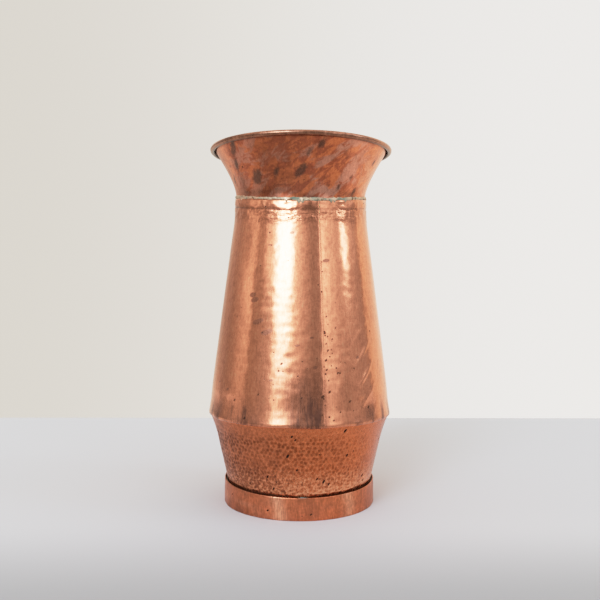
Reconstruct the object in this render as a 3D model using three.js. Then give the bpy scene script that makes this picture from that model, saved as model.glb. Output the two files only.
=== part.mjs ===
// A tall hammered copper water pot, in millimetres, +Z up, standing on z = 0 with its axis on the origin.
// It is coppersmith's work: a raised bowl in a foot hoop, a rolled conical body lapped over the bowl,
// and a flared mouth whose edge is curled over an iron wire. Hard and soft solder fill the joints.
// The front of the pot faces -Y. Angles round the pot run from the front towards +X.

import * as THREE from "three";

// Sheet, wire and joints
const SHEET = 1.2; // wall of the bowl, the body and the mouth
const HOOP_SHEET = 1.3; // wall of the foot hoop
const FLOOR_SHEET = 1.5; // floor of the bowl, left thicker than its raised wall
const WIRE_RADIUS = 1.8; // iron wire in the rim
const FIT = 0.3; // clearance between pieces that are nested or soldered

// Foot hoop
const FOOT_RADIUS = 95.5;
const FOOT_HEIGHT = 31;
const HOOP_LAP = 18; // overlap of the hoop's two ends, at the back

// Bowl, outside faces
const FLOOR_HEIGHT = 7; // the floor's underside, above what the pot stands on
const FOOT_GAP = 1.9; // between the bowl and the inside of the hoop, at the hoop's top edge
const BOWL_TAPER = 0.23; // radius gained per unit of height in the straight part of the wall
const BOWL_CORNER = 10; // radius where the floor turns up into the wall
const BOWL_SWEEP = 36; // height over which the wall sweeps out to the shoulder
const BOWL_TOP_TAPER = 0.45; // radius gained per unit of height where the wall meets the shoulder

// Shoulder and body, outside faces
const SHOULDER_RADIUS = 116.5;
const SHOULDER_HEIGHT = 115; // of the widest point
const SHOULDER_TURN = 5; // radius of the edge that is turned in over the bowl
const SHOULDER_EDGE = 36; // degrees of that turn below the widest point
const SHOULDER_LAP = 10; // height of the bowl's collar inside the body
const NECK_RADIUS = 84.6;
const NECK_BEND = 16; // from where the cone starts to ease upright to where it would meet the neck
const SEAM_ANGLE = 7.5; // degrees from the front to where the body's upright lap begins
const SEAM_LAP = 12; // width of that lap at the shoulder

// Neck joint
const NECK_LAP = 10; // height of the body's collar, in which the mouth's skirt stands
const NECK_BEAD = 3.4; // height of the solder line on the collar's top edge
const JOINT_DIP = 16.5; // how much lower the joint lies at the front than at the back
const DIP_FADE = 80; // height below the collar over which the body takes up that dip

// Mouth
const HEIGHT = 450; // top of the rim
const MOUTH_HEIGHT = 60; // from the body's top edge, at the back, to the top of the rim
const RIM_RADIUS = 116.3;
const MOUTH_LEAN = 35; // degrees from upright at the top of the flare
const CURL_TURN = 284; // degrees that the curl runs round the wire, short of closing on the wall

// Smoothness
const SIDES = 48; // facets round the pot
const CURL_STEPS = 10;
const WIRE_SIDES = 8;
const CURVE_STEPS = 5;

const degrees = THREE.MathUtils.degToRad;
const facet = (2 * Math.PI) / SIDES;
const point = (radius, height) => new THREE.Vector2(radius, height);

const COPPER = { metalness: 1, side: THREE.FrontSide };
const FINISHES = {
  foot: new THREE.MeshStandardMaterial({ ...COPPER, color: 0xb9704c, roughness: 0.38 }),
  bowl: new THREE.MeshStandardMaterial({ ...COPPER, color: 0xb3643f, roughness: 0.42 }),
  body: new THREE.MeshStandardMaterial({ ...COPPER, color: 0xc98a66, roughness: 0.32 }),
  mouth: new THREE.MeshStandardMaterial({ ...COPPER, color: 0xa8603f, roughness: 0.4 }),
  iron: new THREE.MeshStandardMaterial({ ...COPPER, color: 0x4a423c, roughness: 0.7 }),
  spelter: new THREE.MeshStandardMaterial({ ...COPPER, color: 0xb88d55, roughness: 0.5 }),
  verdigris: new THREE.MeshStandardMaterial({ color: 0x8fa694, metalness: 0.1, roughness: 0.85 }),
};

// Unit normals of a (radius, height) line, on its right-hand side: outwards for a line that runs up.
function normals(line) {
  return line.map((here, i) => {
    const before = line[Math.max(i - 1, 0)];
    const after = line[Math.min(i + 1, line.length - 1)];
    const along = after.clone().sub(before).normalize();
    return point(along.y, -along.x);
  });
}

// A closed section: the outside face of a sheet, then the inside face back again.
function sheetSection(outside, wall) {
  const out = normals(outside);
  const inside = outside.map((here, i) => here.clone().addScaledVector(out[i], -wall));
  return [...outside, ...inside.reverse()];
}

// A section turned round the pot's axis. A section that stands off the axis is closed on itself.
function turned(section) {
  const closed = section[0].x > 0 ? [...section, section[0]] : section;
  return new THREE.LatheGeometry(closed, SIDES).rotateX(Math.PI / 2);
}

// Points of an arc between two directions, in degrees from straight outwards, turning upwards.
function arc(centre, radius, from, to, steps) {
  return Array.from({ length: steps + 1 }, (_, i) => {
    const angle = degrees(from + ((to - from) * i) / steps);
    return point(centre.x + radius * Math.cos(angle), centre.y + radius * Math.sin(angle));
  });
}

// A sheet rolled into a ring, whose last stretch steps out by one wall and laps over its first.
// outside is its outer face from bottom to top, start is the angle at which it begins, and lap is
// the angle of the overlap. The ring is extruded flat, then each layer is moved out to its own radius.
function rolledSheet(outside, wall, start, lap) {
  const lapFacets = Math.ceil(lap / facet);
  const turns = Array.from({ length: SIDES + 1 }, (_, i) => i * facet);
  for (let i = 1; i <= lapFacets; i++) {
    turns.push(2 * Math.PI + Math.min(i * facet, lap));
  }
  const drawnRadius = 1000;
  const face = (depth) =>
    turns.map((turn) => {
      const lift = turn > 2 * Math.PI - facet / 2 ? wall + FIT : 0;
      const angle = start + turn;
      const radius = drawnRadius + lift - depth;
      return point(radius * Math.sin(angle), -radius * Math.cos(angle));
    });
  const layers = outside.length - 1;
  const ring = new THREE.Shape([...face(0), ...face(wall).reverse()]);
  const rolled = new THREE.ExtrudeGeometry(ring, { depth: layers, steps: layers, bevelEnabled: false });
  const out = normals(outside);
  const position = rolled.getAttribute("position");
  for (let i = 0; i < position.count; i++) {
    const layer = Math.round(position.getZ(i));
    const drawn = Math.hypot(position.getX(i), position.getY(i));
    const proud = outside[layer].clone().addScaledVector(out[layer], drawn - drawnRadius);
    const scale = proud.x / drawn;
    position.setXYZ(i, position.getX(i) * scale, position.getY(i) * scale, proud.y);
  }
  return rolled;
}

// Heights and radii that the pieces share
const neckJoint = HEIGHT - MOUTH_HEIGHT;
const collarFoot = neckJoint - NECK_LAP;
const flareFoot = neckJoint + NECK_BEAD + FIT;
const skirtRadius = NECK_RADIUS - SHEET - FIT;
const bendHeight = collarFoot - NECK_BEND;
const seamStart = Math.round(degrees(SEAM_ANGLE) / facet) * facet;
const seamLap = SEAM_LAP / SHOULDER_RADIUS;
const bodyTaper = (SHOULDER_RADIUS - NECK_RADIUS) / (bendHeight - SHOULDER_HEIGHT);
const bodyLean = THREE.MathUtils.radToDeg(Math.atan(bodyTaper));
const shoulderCentre = point(SHOULDER_RADIUS - SHOULDER_TURN, SHOULDER_HEIGHT);
const curlInside = WIRE_RADIUS + FIT;
const curlCentre = point(RIM_RADIUS - curlInside - SHEET, HEIGHT - curlInside - SHEET);

// Outer radius of the bowl's straight wall at a height.
function bowlRadius(height) {
  return FOOT_RADIUS - HOOP_SHEET - FOOT_GAP + (height - FOOT_HEIGHT) * BOWL_TAPER;
}

// The neck joint is lower at the front. The drop is whole in the joint. It fades to nothing up the mouth
// and down the body, so every piece that meets at the joint drops with it.
function dipAtNeck(geometry) {
  const rim = curlCentre.y - curlInside - SHEET;
  const position = geometry.getAttribute("position");
  for (let i = 0; i < position.count; i++) {
    const height = position.getZ(i);
    const angle = Math.atan2(position.getX(i), -position.getY(i));
    const above = THREE.MathUtils.clamp((rim - height) / (rim - flareFoot), 0, 1);
    const below = THREE.MathUtils.clamp((height - collarFoot + DIP_FADE) / DIP_FADE, 0, 1);
    position.setZ(i, height - JOINT_DIP * Math.cos(angle / 2) ** 4 * Math.min(above, below));
  }
  return geometry;
}

// Plain hoop. Its ends overlap at the back.
function footHoop() {
  const outside = [point(FOOT_RADIUS, 0), point(FOOT_RADIUS, FOOT_HEIGHT)];
  return rolledSheet(outside, HOOP_SHEET, Math.PI, HOOP_LAP / FOOT_RADIUS);
}

// Solder run into the gap between the bowl and the hoop, a little below the hoop's top edge.
function footSolder() {
  const top = FOOT_HEIGHT - 1.5;
  const foot = top - 4;
  const hoopInside = FOOT_RADIUS - HOOP_SHEET - FIT;
  return turned([
    point(bowlRadius(foot) + FIT, foot),
    point(hoopInside, foot),
    point(hoopInside, top - 0.6),
    point(bowlRadius(top) + FIT, top),
  ]);
}

// The bowl's outside: floor, corner, straight wall, sweep, and a collar that follows the inside of the body.
function bowlOutside() {
  const wallLean = THREE.MathUtils.radToDeg(Math.atan(BOWL_TAPER));
  const topLean = THREE.MathUtils.radToDeg(Math.atan(BOWL_TOP_TAPER));
  const cornerHeight = FLOOR_HEIGHT + BOWL_CORNER;
  const cornerRadius = bowlRadius(cornerHeight) - BOWL_CORNER / Math.cos(degrees(wallLean));
  const underEdge = (SHOULDER_TURN - SHEET) * Math.cos(degrees(SHOULDER_EDGE - topLean)) - FIT;
  const collar = arc(shoulderCentre, underEdge, -topLean, bodyLean, 2);
  const collarEnd = collar[collar.length - 1];
  const sweepFoot = collar[0].y - BOWL_SWEEP;
  const sweepBend = point(collar[0].x - (BOWL_SWEEP / 2) * BOWL_TOP_TAPER, collar[0].y - BOWL_SWEEP / 2);
  const sweep = new THREE.QuadraticBezierCurve(
    point(bowlRadius(sweepFoot), sweepFoot),
    sweepBend,
    collar[0],
  );
  return [
    point(0, FLOOR_HEIGHT),
    ...arc(point(cornerRadius, cornerHeight), BOWL_CORNER, -90, -wallLean, 4),
    ...sweep.getPoints(CURVE_STEPS),
    ...collar.slice(1),
    point(collarEnd.x - SHOULDER_LAP * bodyTaper, collarEnd.y + SHOULDER_LAP),
  ];
}

// One disc, raised. The floor's upper face stands on the floor's own thickness.
function lowerBowl() {
  const section = sheetSection(bowlOutside(), SHEET);
  const floorTop = FLOOR_HEIGHT + FLOOR_SHEET;
  section[section.length - 1] = point(0, floorTop);
  section[section.length - 2].y = floorTop;
  return turned(section);
}

// Spelter left as a fillet inside the body, on the top edge of the bowl's collar.
function shoulderSolder() {
  const collarEnd = bowlOutside().pop();
  const foot = collarEnd.y + FIT;
  const fillet = 2 * SHEET;
  return turned([
    point(collarEnd.x - SHEET, foot),
    point(collarEnd.x, foot),
    point(collarEnd.x - fillet * bodyTaper, foot + fillet),
  ]);
}

// The shoulder edge turned in over the bowl, the cone, and the upright collar.
function bodyOutside() {
  const coneTop = point(NECK_RADIUS + NECK_BEND * bodyTaper, bendHeight - NECK_BEND);
  const bend = point(NECK_RADIUS, bendHeight);
  const eased = new THREE.QuadraticBezierCurve(coneTop, bend, point(NECK_RADIUS, collarFoot));
  const shoulder = arc(shoulderCentre, SHOULDER_TURN, -SHOULDER_EDGE, bodyLean, 3);
  const coneFoot = shoulder[shoulder.length - 1];
  return [
    ...shoulder,
    coneFoot.clone().lerp(coneTop, 0.35),
    coneFoot.clone().lerp(coneTop, 0.7),
    ...eased.getPoints(CURVE_STEPS),
    point(NECK_RADIUS, neckJoint),
  ];
}

function bodySheet() {
  return dipAtNeck(rolledSheet(bodyOutside(), SHEET, seamStart, seamLap));
}

// Spelter along the free edge of the body's upright lap: a slim fillet from the shoulder to the collar.
function bodySeamSolder() {
  const outside = bodyOutside().slice(3);
  const fillet = new THREE.Shape([point(FIT, FIT), point(FIT + SHEET, FIT), point(FIT, FIT + SHEET)]);
  const layers = outside.length - 1;
  const strip = new THREE.ExtrudeGeometry(fillet, { depth: layers, steps: layers, bevelEnabled: false });
  const position = strip.getAttribute("position");
  for (let i = 0; i < position.count; i++) {
    const layer = outside[Math.round(position.getZ(i))];
    const radius = layer.x + position.getX(i);
    const angle = seamStart + seamLap + position.getY(i) / layer.x;
    position.setXYZ(i, radius * Math.sin(angle), -radius * Math.cos(angle), layer.y);
  }
  return dipAtNeck(strip);
}

// Solder line on the body's top edge, in the groove under the flare.
function neckSolder() {
  const foot = neckJoint + FIT;
  const top = neckJoint + NECK_BEAD;
  const section = [
    point(skirtRadius + FIT, foot),
    point(NECK_RADIUS, foot),
    point(NECK_RADIUS + FIT, (foot + top) / 2),
    point(NECK_RADIUS, top),
    point(skirtRadius + FIT, top),
  ];
  return dipAtNeck(turned(section));
}

// The mouth: a skirt inside the collar, a flare, and an edge curled outwards and down round the wire.
function mouthFlare() {
  const lean = degrees(MOUTH_LEAN);
  const curlStart = 180 - MOUTH_LEAN;
  const curl = arc(curlCentre, curlInside, curlStart, curlStart - CURL_TURN, CURL_STEPS);
  const reach = (curl[0].x - skirtRadius) / Math.tan(lean);
  const bend = point(skirtRadius, curl[0].y - reach);
  const flare = new THREE.QuadraticBezierCurve(point(skirtRadius, flareFoot), bend, curl[0]);
  const outside = [
    point(skirtRadius, collarFoot + FIT),
    ...flare.getPoints(CURVE_STEPS + 1),
    ...curl.slice(1),
  ];
  return dipAtNeck(turned(sheetSection(outside, SHEET)));
}

function rimWire() {
  return turned(arc(curlCentre, WIRE_RADIUS, 0, 360, WIRE_SIDES).slice(0, -1));
}

const pieces = [
  ["foot_hoop", footHoop, FINISHES.foot],
  ["foot_solder", footSolder, FINISHES.verdigris],
  ["lower_bowl", lowerBowl, FINISHES.bowl],
  ["shoulder_solder", shoulderSolder, FINISHES.spelter],
  ["body_sheet", bodySheet, FINISHES.body],
  ["body_seam_solder", bodySeamSolder, FINISHES.spelter],
  ["neck_solder", neckSolder, FINISHES.verdigris],
  ["mouth_flare", mouthFlare, FINISHES.mouth],
  ["rim_wire", rimWire, FINISHES.iron],
];

const pot = new THREE.Group();
for (const [name, shape, finish] of pieces) {
  const mesh = new THREE.Mesh(shape(), finish);
  mesh.name = name;
  pot.add(mesh);
}

export default pot;
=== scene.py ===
"""The looks of a tall hammered copper water pot, built round its CAD model. Metres, +Z up, front at -Y."""

import math

import bpy
import numpy as np
from mathutils import Matrix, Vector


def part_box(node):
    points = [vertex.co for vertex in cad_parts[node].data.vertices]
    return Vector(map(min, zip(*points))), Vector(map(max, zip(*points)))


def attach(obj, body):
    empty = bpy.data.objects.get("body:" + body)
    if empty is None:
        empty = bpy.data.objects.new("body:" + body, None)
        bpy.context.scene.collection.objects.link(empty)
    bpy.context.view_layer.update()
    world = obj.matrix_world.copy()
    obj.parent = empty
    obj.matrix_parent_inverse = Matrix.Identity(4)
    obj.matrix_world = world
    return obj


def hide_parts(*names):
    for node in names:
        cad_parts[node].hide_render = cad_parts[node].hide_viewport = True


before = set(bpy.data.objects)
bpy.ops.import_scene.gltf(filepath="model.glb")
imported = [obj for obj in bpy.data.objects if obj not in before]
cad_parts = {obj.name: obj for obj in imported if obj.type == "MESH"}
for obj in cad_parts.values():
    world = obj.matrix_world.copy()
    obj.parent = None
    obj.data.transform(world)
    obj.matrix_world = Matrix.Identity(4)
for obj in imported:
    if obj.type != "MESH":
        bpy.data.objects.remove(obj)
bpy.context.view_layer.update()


# -------------------- lower bowl
# The bowl is one disc of copper raised over stakes: a floor, a wall, and a collar that stands in the body.
# It is peened all over with a small round punch. The marks crowd together and run into strokes at the foot.

MM = 0.001
SHEET = 1.2 * MM
SKIN_GAP = 0.3 * MM  # clearance that the nested sheets keep
FULL_TURN = 2 * math.pi

bowl_low, bowl_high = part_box("lower_bowl")
hoop_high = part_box("foot_hoop")[1]
body_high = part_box("body_sheet")[1]

HOOP_SHEET = 1.3 * MM
FOOT_GAP = 1.9 * MM
BOWL_TAPER = 0.23
BOWL_CORNER = 10 * MM
BOWL_SWEEP = 36 * MM
BOWL_TOP_TAPER = 0.45
SHOULDER_TURN = 5 * MM
SHOULDER_HEIGHT = 115 * MM
NECK_RADIUS = 84.6 * MM
NECK_LAP = 10 * MM
NECK_BEND = 16 * MM

PUNCH_ROWS = 4.5 * MM
PUNCH_MARKS_ROUND = 120
PUNCH_FLAT = 1.35 * MM  # radius of the flat bottom of a mark
PUNCH_RADIUS = 2.5 * MM
PUNCH_DEPTH = 0.4 * MM
STROKE_ROWS = 3.2 * MM
STROKES_ROUND = 84
STROKE_REACH = 1.8 * MM
STROKE_DEPTH = 0.24 * MM
GOUGE_DEPTH = 0.45 * MM
GOUGES = (  # degrees from the front, height in mm, size in mm
    (27, 106, 2.4), (32, 75, 1.9), (-9, 77, 2.4), (-24, 50, 1.8), (16, 45, 2.2), (-6, 101, 1.8),
    (-4, 97, 1.6), (11, 49, 1.7), (20, 41, 1.6), (52, 44, 2.0), (55, 37, 1.7), (-40, 38, 1.7),
    (-20, 36, 1.8), (-3, 60, 1.6), (70, 84, 1.8), (118, 70, 2.2), (160, 90, 2.0), (-100, 66, 2.2),
    (-150, 48, 1.9), (-74, 92, 1.7))


def arc(centre, radius, start, end, count):
    """Points (radius, height) of a circle's arc, between two directions in degrees from straight outwards."""
    turn = np.radians(np.linspace(start, end, count))
    return np.stack([centre[0] + radius * np.cos(turn), centre[1] + radius * np.sin(turn)], 1)


def bent(start, handle, end, count):
    """A line bent towards a handle: (1-t)^2 of start, 2t(1-t) of handle and t^2 of end."""
    t = np.linspace(0, 1, count)[:, None]
    return (1 - t) ** 2 * np.array(start) + 2 * t * (1 - t) * np.array(handle) + t ** 2 * np.array(end)


def evenly(line, spacing):
    """The same line, with its points spaced evenly along its length. Spacing is in metres."""
    line = np.concatenate([np.atleast_2d(part) for part in line])
    steps = np.hypot(*np.diff(line, axis=0).T)
    line = line[np.append(True, steps > 1e-7)]
    along = np.append(0, np.cumsum(steps[steps > 1e-7]))
    wanted = np.linspace(0, along[-1], int(along[-1] / spacing) + 1)
    return np.stack([np.interp(wanted, along, line[:, 0]), np.interp(wanted, along, line[:, 1])], 1)


def from_front(angle):
    """The same angle, counted from the front: half a turn either way."""
    return (angle + math.pi) % FULL_TURN - math.pi


def ring(count):
    """Evenly spaced angles once round the pot, as one row."""
    return np.linspace(0, FULL_TURN, count, endpoint=False)[None, :]


def drift(angle, height, waves_round, wave_height, seed):
    """Smooth chance undulation from -1 to 1: chance values on a grid, waves_round of them round the pot and
    one every wave_height up it, blended between by 3t^2 - 2t^3."""
    chance = np.random.default_rng(seed).uniform(-1, 1, (64, waves_round))
    across = np.asarray(angle) / FULL_TURN * waves_round
    up = np.asarray(height) / wave_height + 16
    across, up = np.broadcast_arrays(across, up)
    column, row = np.floor(across).astype(int), np.floor(up).astype(int)
    s, t = across - column, up - row
    s, t = s * s * (3 - 2 * s), t * t * (3 - 2 * t)
    here = lambda i, j: chance[(row + i) % 64, (column + j) % waves_round]
    return (here(0, 0) * (1 - s) + here(0, 1) * s) * (1 - t) + (here(1, 0) * (1 - s) + here(1, 1) * s) * t


def blows(angle, height, radius, marks_round, pitch, seed, scatter=0.35, long=1.0):
    """Distance from each point to the nearest hammer blow, and that blow's chance number from 0 to 1. Blows
    stand in staggered rows, marks_round to a row and pitch apart, moved by chance. long stretches them."""
    chance = np.random.default_rng(seed).uniform(0, 1, (3, 128, marks_round))
    up = np.asarray(height) / pitch + 16
    across = np.asarray(angle) / FULL_TURN * marks_round
    across, up, radius = np.broadcast_arrays(across, up, radius)
    row = np.floor(up).astype(int)
    nearest = np.full(up.shape, np.inf)
    number = np.zeros(up.shape)
    for i in (-1, 0, 1):
        stagger = ((row + i) % 2) / 2
        column = np.floor(across - stagger).astype(int)
        for j in (-1, 0, 1):
            cell = (row + i) % 128, (column + j) % marks_round
            aside = column + j + stagger + 0.5 + scatter * (2 * chance[0][cell] - 1) - across
            above = row + i + 0.5 + scatter * (2 * chance[1][cell] - 1) - up
            distance = np.hypot(aside * radius * FULL_TURN / marks_round / long, above * pitch)
            closer = distance < nearest
            nearest = np.where(closer, distance, nearest)
            number = np.where(closer, chance[2][cell], number)
    return nearest, number


def dimple(distance, reach):
    """A round hollow: (1 - (distance/reach)^2)^2, from 1 at its middle to 0 at its reach."""
    return np.clip(1 - (distance / reach) ** 2, 0, 1) ** 2


def spots(angle, height, radius, places, long=1.0):
    """Soft leaning spots, each of (degrees from the front, height in mm, size in mm): the dimple of the
    distance to its middle, where height counts for 1/long and pulls the spot 0.4 aside."""
    spotted = 0 * (angle + height)
    for degrees, middle, size in places:
        aside = from_front(angle - math.radians(degrees)) * radius
        above = height - middle * MM
        spotted = spotted + dimple(np.hypot(aside - 0.4 * above, above / long), size * MM)
    return np.clip(spotted, 0, 1)


def bump_at(value, middle, width):
    """A soft hump of height 1: e to the power of -((value - middle)/width)^2."""
    return np.exp(-(((value - middle) / width) ** 2))


def near(angle, degrees, width):
    """The same hump, about an angle given in degrees. Width is in radians."""
    return bump_at(angle, math.radians(degrees), width)


def ramp(value, start, end):
    """3t^2 - 2t^3, where t runs from 0 at start to 1 at end."""
    t = np.clip((value - start) / (end - start), 0, 1)
    return t * t * (3 - 2 * t)


def make_mesh(name, points, faces, fields):
    """An object of those points and faces, with its fields of one number for each point."""
    mesh = bpy.data.meshes.new(name)
    mesh.from_pydata(points.reshape(-1, 3).tolist(), [], faces)
    for label, values in fields.items():
        attribute = mesh.attributes.new(label, "FLOAT", "POINT")
        attribute.data.foreach_set("value", values.astype(np.float32).ravel())
    mesh.shade_smooth()
    piece = bpy.data.objects.new(name, mesh)
    bpy.context.scene.collection.objects.link(piece)
    return piece


def quads(rows, columns, rows_close, columns_close):
    """The corners of every cell of a grid, in the order that faces outwards if rows run up the outside."""
    row = np.arange(rows if rows_close else rows - 1)[:, None]
    column = np.arange(columns if columns_close else columns - 1)[None, :]
    next_row, next_column = (row + 1) % rows, (column + 1) % columns
    corner = [row * columns + column, row * columns + next_column,
              next_row * columns + next_column, next_row * columns + column]
    return np.stack(corner, -1).reshape(-1, 4).tolist()


def sheet_piece(name, line, wall, angle, relief, fields, on_axis=False, lapped=False, drop=None, every=4):
    """A sheet whose outside is a (radius, height) line carried round the pot. A point is the line's point
    plus its normal times (relief - depth). Depth is 0 outside, wall inside, and rounds over the edge.
    on_axis closes the line's start with a point on the axis. lapped leaves the ring open, with its two ends
    closed. drop(angle, height) lowers points. Inside, only every so many rows are kept."""
    count = len(line)
    kept_inside = np.append(np.arange(0, count - 1, every), count - 1)
    edge = np.full(3, count - 1)
    source = np.concatenate([np.arange(count), edge, kept_inside[::-1], 0 * edge])
    inner = len(kept_inside)
    rounding = np.array([0.15, 0.5, 0.85])
    bulge = np.array([0.3, 0.42, 0.3])
    depth = wall * np.concatenate([np.zeros(count), rounding, np.ones(inner), 1 - rounding])
    beyond = wall * np.concatenate([np.zeros(count), bulge, np.zeros(inner), -bulge])
    if on_axis:
        source, depth, beyond = source[:-len(edge)], depth[:-len(edge)], beyond[:-len(edge)]
    along = np.gradient(line, axis=0)
    along /= np.hypot(*along.T)[:, None]
    normal = np.stack([along[:, 1], -along[:, 0]], 1)
    proud = relief[source] - depth[:, None]
    radius = line[source, :1] + normal[source, :1] * proud + along[source, :1] * beyond[:, None]
    height = line[source, 1:] + normal[source, 1:] * proud + along[source, 1:] * beyond[:, None]
    if drop is not None:
        height = height - drop(angle, height)
    points = np.stack([radius * np.sin(angle), -radius * np.cos(angle), height], -1)
    rows, columns = radius.shape
    faces = quads(rows, columns, not on_axis, not lapped)
    kept = {label: values[source] for label, values in fields.items()}
    kept["inside"] = (depth / wall)[:, None] + 0 * angle
    points = points.reshape(-1, 3)
    if on_axis:
        poles = [[0, 0, points[0, 2]], [0, 0, points[-1, 2]]]
        outer, inside = len(points), len(points) + 1
        points = np.concatenate([points, poles])
        kept = {label: np.append(values.ravel(), values[[0, -1], 0]) for label, values in kept.items()}
        here = np.arange(columns)
        beside = (here + 1) % columns
        last = (rows - 1) * columns
        faces += np.stack([0 * here + outer, beside, here], 1).tolist()
        faces += np.stack([0 * here + inside, last + here, last + beside], 1).tolist()
    if lapped:
        for column, turn in ((0, -1), (columns - 1, 1)):
            innermost = rows - 1 - len(edge)
            strips = [[*range(kept_inside[i], kept_inside[i + 1] + 1), innermost - i - 1, innermost - i]
                      for i in range(inner - 1)]
            strips += [[*range(count - 1, count + len(edge) + 1)], [*range(innermost, rows), 0]]
            faces += [[row * columns + column for row in strip[::turn]] for strip in strips]
    return make_mesh(name, points, faces, kept)


floor_height = bowl_low.z
hoop_radius = hoop_high.x
hoop_height = hoop_high.z
collar_foot = body_high.z - NECK_LAP
bend_height = collar_foot - NECK_BEND
shoulder_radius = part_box("mouth_flare")[1].x + 0.2 * MM
body_taper = (shoulder_radius - NECK_RADIUS) / (bend_height - SHOULDER_HEIGHT)
body_lean = math.degrees(math.atan(body_taper))
shoulder_centre = (shoulder_radius - SHOULDER_TURN, SHOULDER_HEIGHT)


def bowl_radius(height):
    """Outer radius of the bowl's straight wall at a height."""
    return hoop_radius - HOOP_SHEET - FOOT_GAP + (height - hoop_height) * BOWL_TAPER


def bowl_line():
    """The bowl's outside from its corner up: straight wall, sweep, and a collar that follows the body."""
    wall_lean = math.degrees(math.atan(BOWL_TAPER))
    top_lean = math.degrees(math.atan(BOWL_TOP_TAPER))
    corner_height = floor_height + BOWL_CORNER
    corner_radius = bowl_radius(corner_height) - BOWL_CORNER / math.cos(math.radians(wall_lean))
    collar = arc(shoulder_centre, SHOULDER_TURN - SHEET - 1.3 * SKIN_GAP, -top_lean, body_lean, 8)
    foot = collar[0, 1] - BOWL_SWEEP
    handle = collar[0] - np.array([BOWL_TOP_TAPER, 1]) * BOWL_SWEEP / 2
    return [
        arc((corner_radius, corner_height), BOWL_CORNER, -90, -wall_lean, 12),
        bent((bowl_radius(foot), foot), handle, collar[0], 24),
        collar,
        (collar[-1, 0] - body_taper * (bowl_high.z - collar[-1, 1]), bowl_high.z),
    ]


def make_bowl():
    """The floor's and the bowl's line carried round the axis. Relief is slow waves, less a flat-bottomed mark
    at each punch blow, a long dimple at each stroke and a spot at each gouge. It is 0 at floor and collar."""
    floor = np.stack([np.linspace(3 * MM, 74 * MM, 12), np.full(12, floor_height)], 1)
    line = np.concatenate([floor, evenly(bowl_line(), 1.15 * MM)])
    angle = ring(580)
    radius, height = line[:, :1], line[:, 1:]
    seen = ramp(height, 12 * MM, 24 * MM) * (1 - ramp(height, 109 * MM, 113 * MM))  # not floor or collar
    low = 1 - ramp(height, 38 * MM, 60 * MM)
    lowest = 1 - ramp(height, 30 * MM, 42 * MM)
    # How deep the punch marks are: deepest to the left of the front, and fainter at the foot and the top.
    crowd = 0.45 + 0.45 * np.cos(angle + 0.85) + 0.15 * low + 0.4 * drift(angle, height, 11, 24 * MM, 11)
    crowd = np.clip(crowd, 0.15, 1) * (0.25 + 0.75 * (1 - ramp(height, 86 * MM, 106 * MM))) * (1 - 0.5 * low)
    distance, number = blows(angle, height, radius, PUNCH_MARKS_ROUND, PUNCH_ROWS, 12, 0.25)
    punched = 1 - ramp(distance, PUNCH_FLAT, PUNCH_RADIUS * (0.85 + 0.2 * number))
    punched = punched * crowd * ramp(number, -0.4, 0.7)
    along, strength = blows(angle, height, radius, STROKES_ROUND, STROKE_ROWS, 13, 0.45, 2.2)
    strokes = dimple(along, STROKE_REACH) * low * (0.35 + 0.65 * strength) * (0.6 + 0.4 * np.cos(angle + 0.3))
    gouged = spots(angle, height, radius, GOUGES, 1.6)
    waves = 0.25 * drift(angle, height, 14, 24 * MM, 14) + 0.1 * drift(angle, height, 60, 7 * MM, 15)
    relief = seen * (waves * MM - PUNCH_DEPTH * punched - STROKE_DEPTH * strokes - GOUGE_DEPTH * gouged)
    # Painted sheen: lighter towards the foot, most on the right, and between the marks, standing in for
    # reflections of the walls and window.
    painted_sheen = 0.2 + 0.6 * low + (0.4 + np.clip(np.sin(angle), 0, 1)) * lowest
    worked = np.clip(1 - ramp(height, 36 * MM, 74 * MM) + 0.25, 0, 1)
    left = ramp(-np.sin(angle), -0.1, 0.75) * (np.cos(angle) > -0.3)
    fields = {
        # hollow: painted shade in the punch marks and strokes, which the copper effect darkens the colour by.
        "hollow": seen * np.clip(0.85 * punched * (1 - 0.5 * low) + 0.35 * strokes, 0, 1),
        "painted_sheen": seen * painted_sheen * (1 - np.clip(1.6 * strokes + 1.4 * punched, 0, 0.9)),
        "worked": seen * worked * (0.65 + 0.35 * np.cos(angle + 0.6)),
        "soot": seen * np.clip(low * 0.08 + 0.9 * left, 0, 1),
        "gouge": seen * gouged,
        "ruddy": seen * np.clip(0.15 + np.cos(angle - 0.75), 0, 1) * (1 - 0.7 * low),
    }
    return sheet_piece("raised_bowl", line, SHEET, angle, relief, fields, on_axis=True)


def node(tree, kind, settings=None, **inputs):
    """A shader node. An input is named by its label, with _ for a space, or as i0, i1 and so on where labels
    repeat. It takes a value or another node's socket."""
    made = tree.nodes.new(kind)
    for setting, value in (settings or {}).items():
        setattr(made, setting, value)
    for key, value in inputs.items():
        numbered = key[0] == "i" and key[1:].isdigit()
        socket = made.inputs[int(key[1:])] if numbered else made.inputs[key.replace("_", " ")]
        if isinstance(value, bpy.types.NodeSocket):
            tree.links.new(value, socket)
        else:
            socket.default_value = value
    return made


def sums(tree, operation, first, second=0.0, third=0.0, clamp=False):
    """The output of a Math node."""
    settings = {"operation": operation, "use_clamp": clamp}
    return node(tree, "ShaderNodeMath", settings, i0=first, i1=second, i2=third).outputs[0]


def times(tree, first, second):
    """The product of two numbers."""
    return sums(tree, "MULTIPLY", first, second)


def scaled(tree, value, by, more, clamp=False):
    """A value times another, plus more."""
    return sums(tree, "MULTIPLY_ADD", value, by, more, clamp)


def blend(tree, factor, first, second, kind="MIX"):
    """A colour part of the way from first to second."""
    settings = {"data_type": "RGBA", "blend_type": kind}
    return node(tree, "ShaderNodeMix", settings, i0=factor, i6=first, i7=second).outputs[2]


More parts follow.
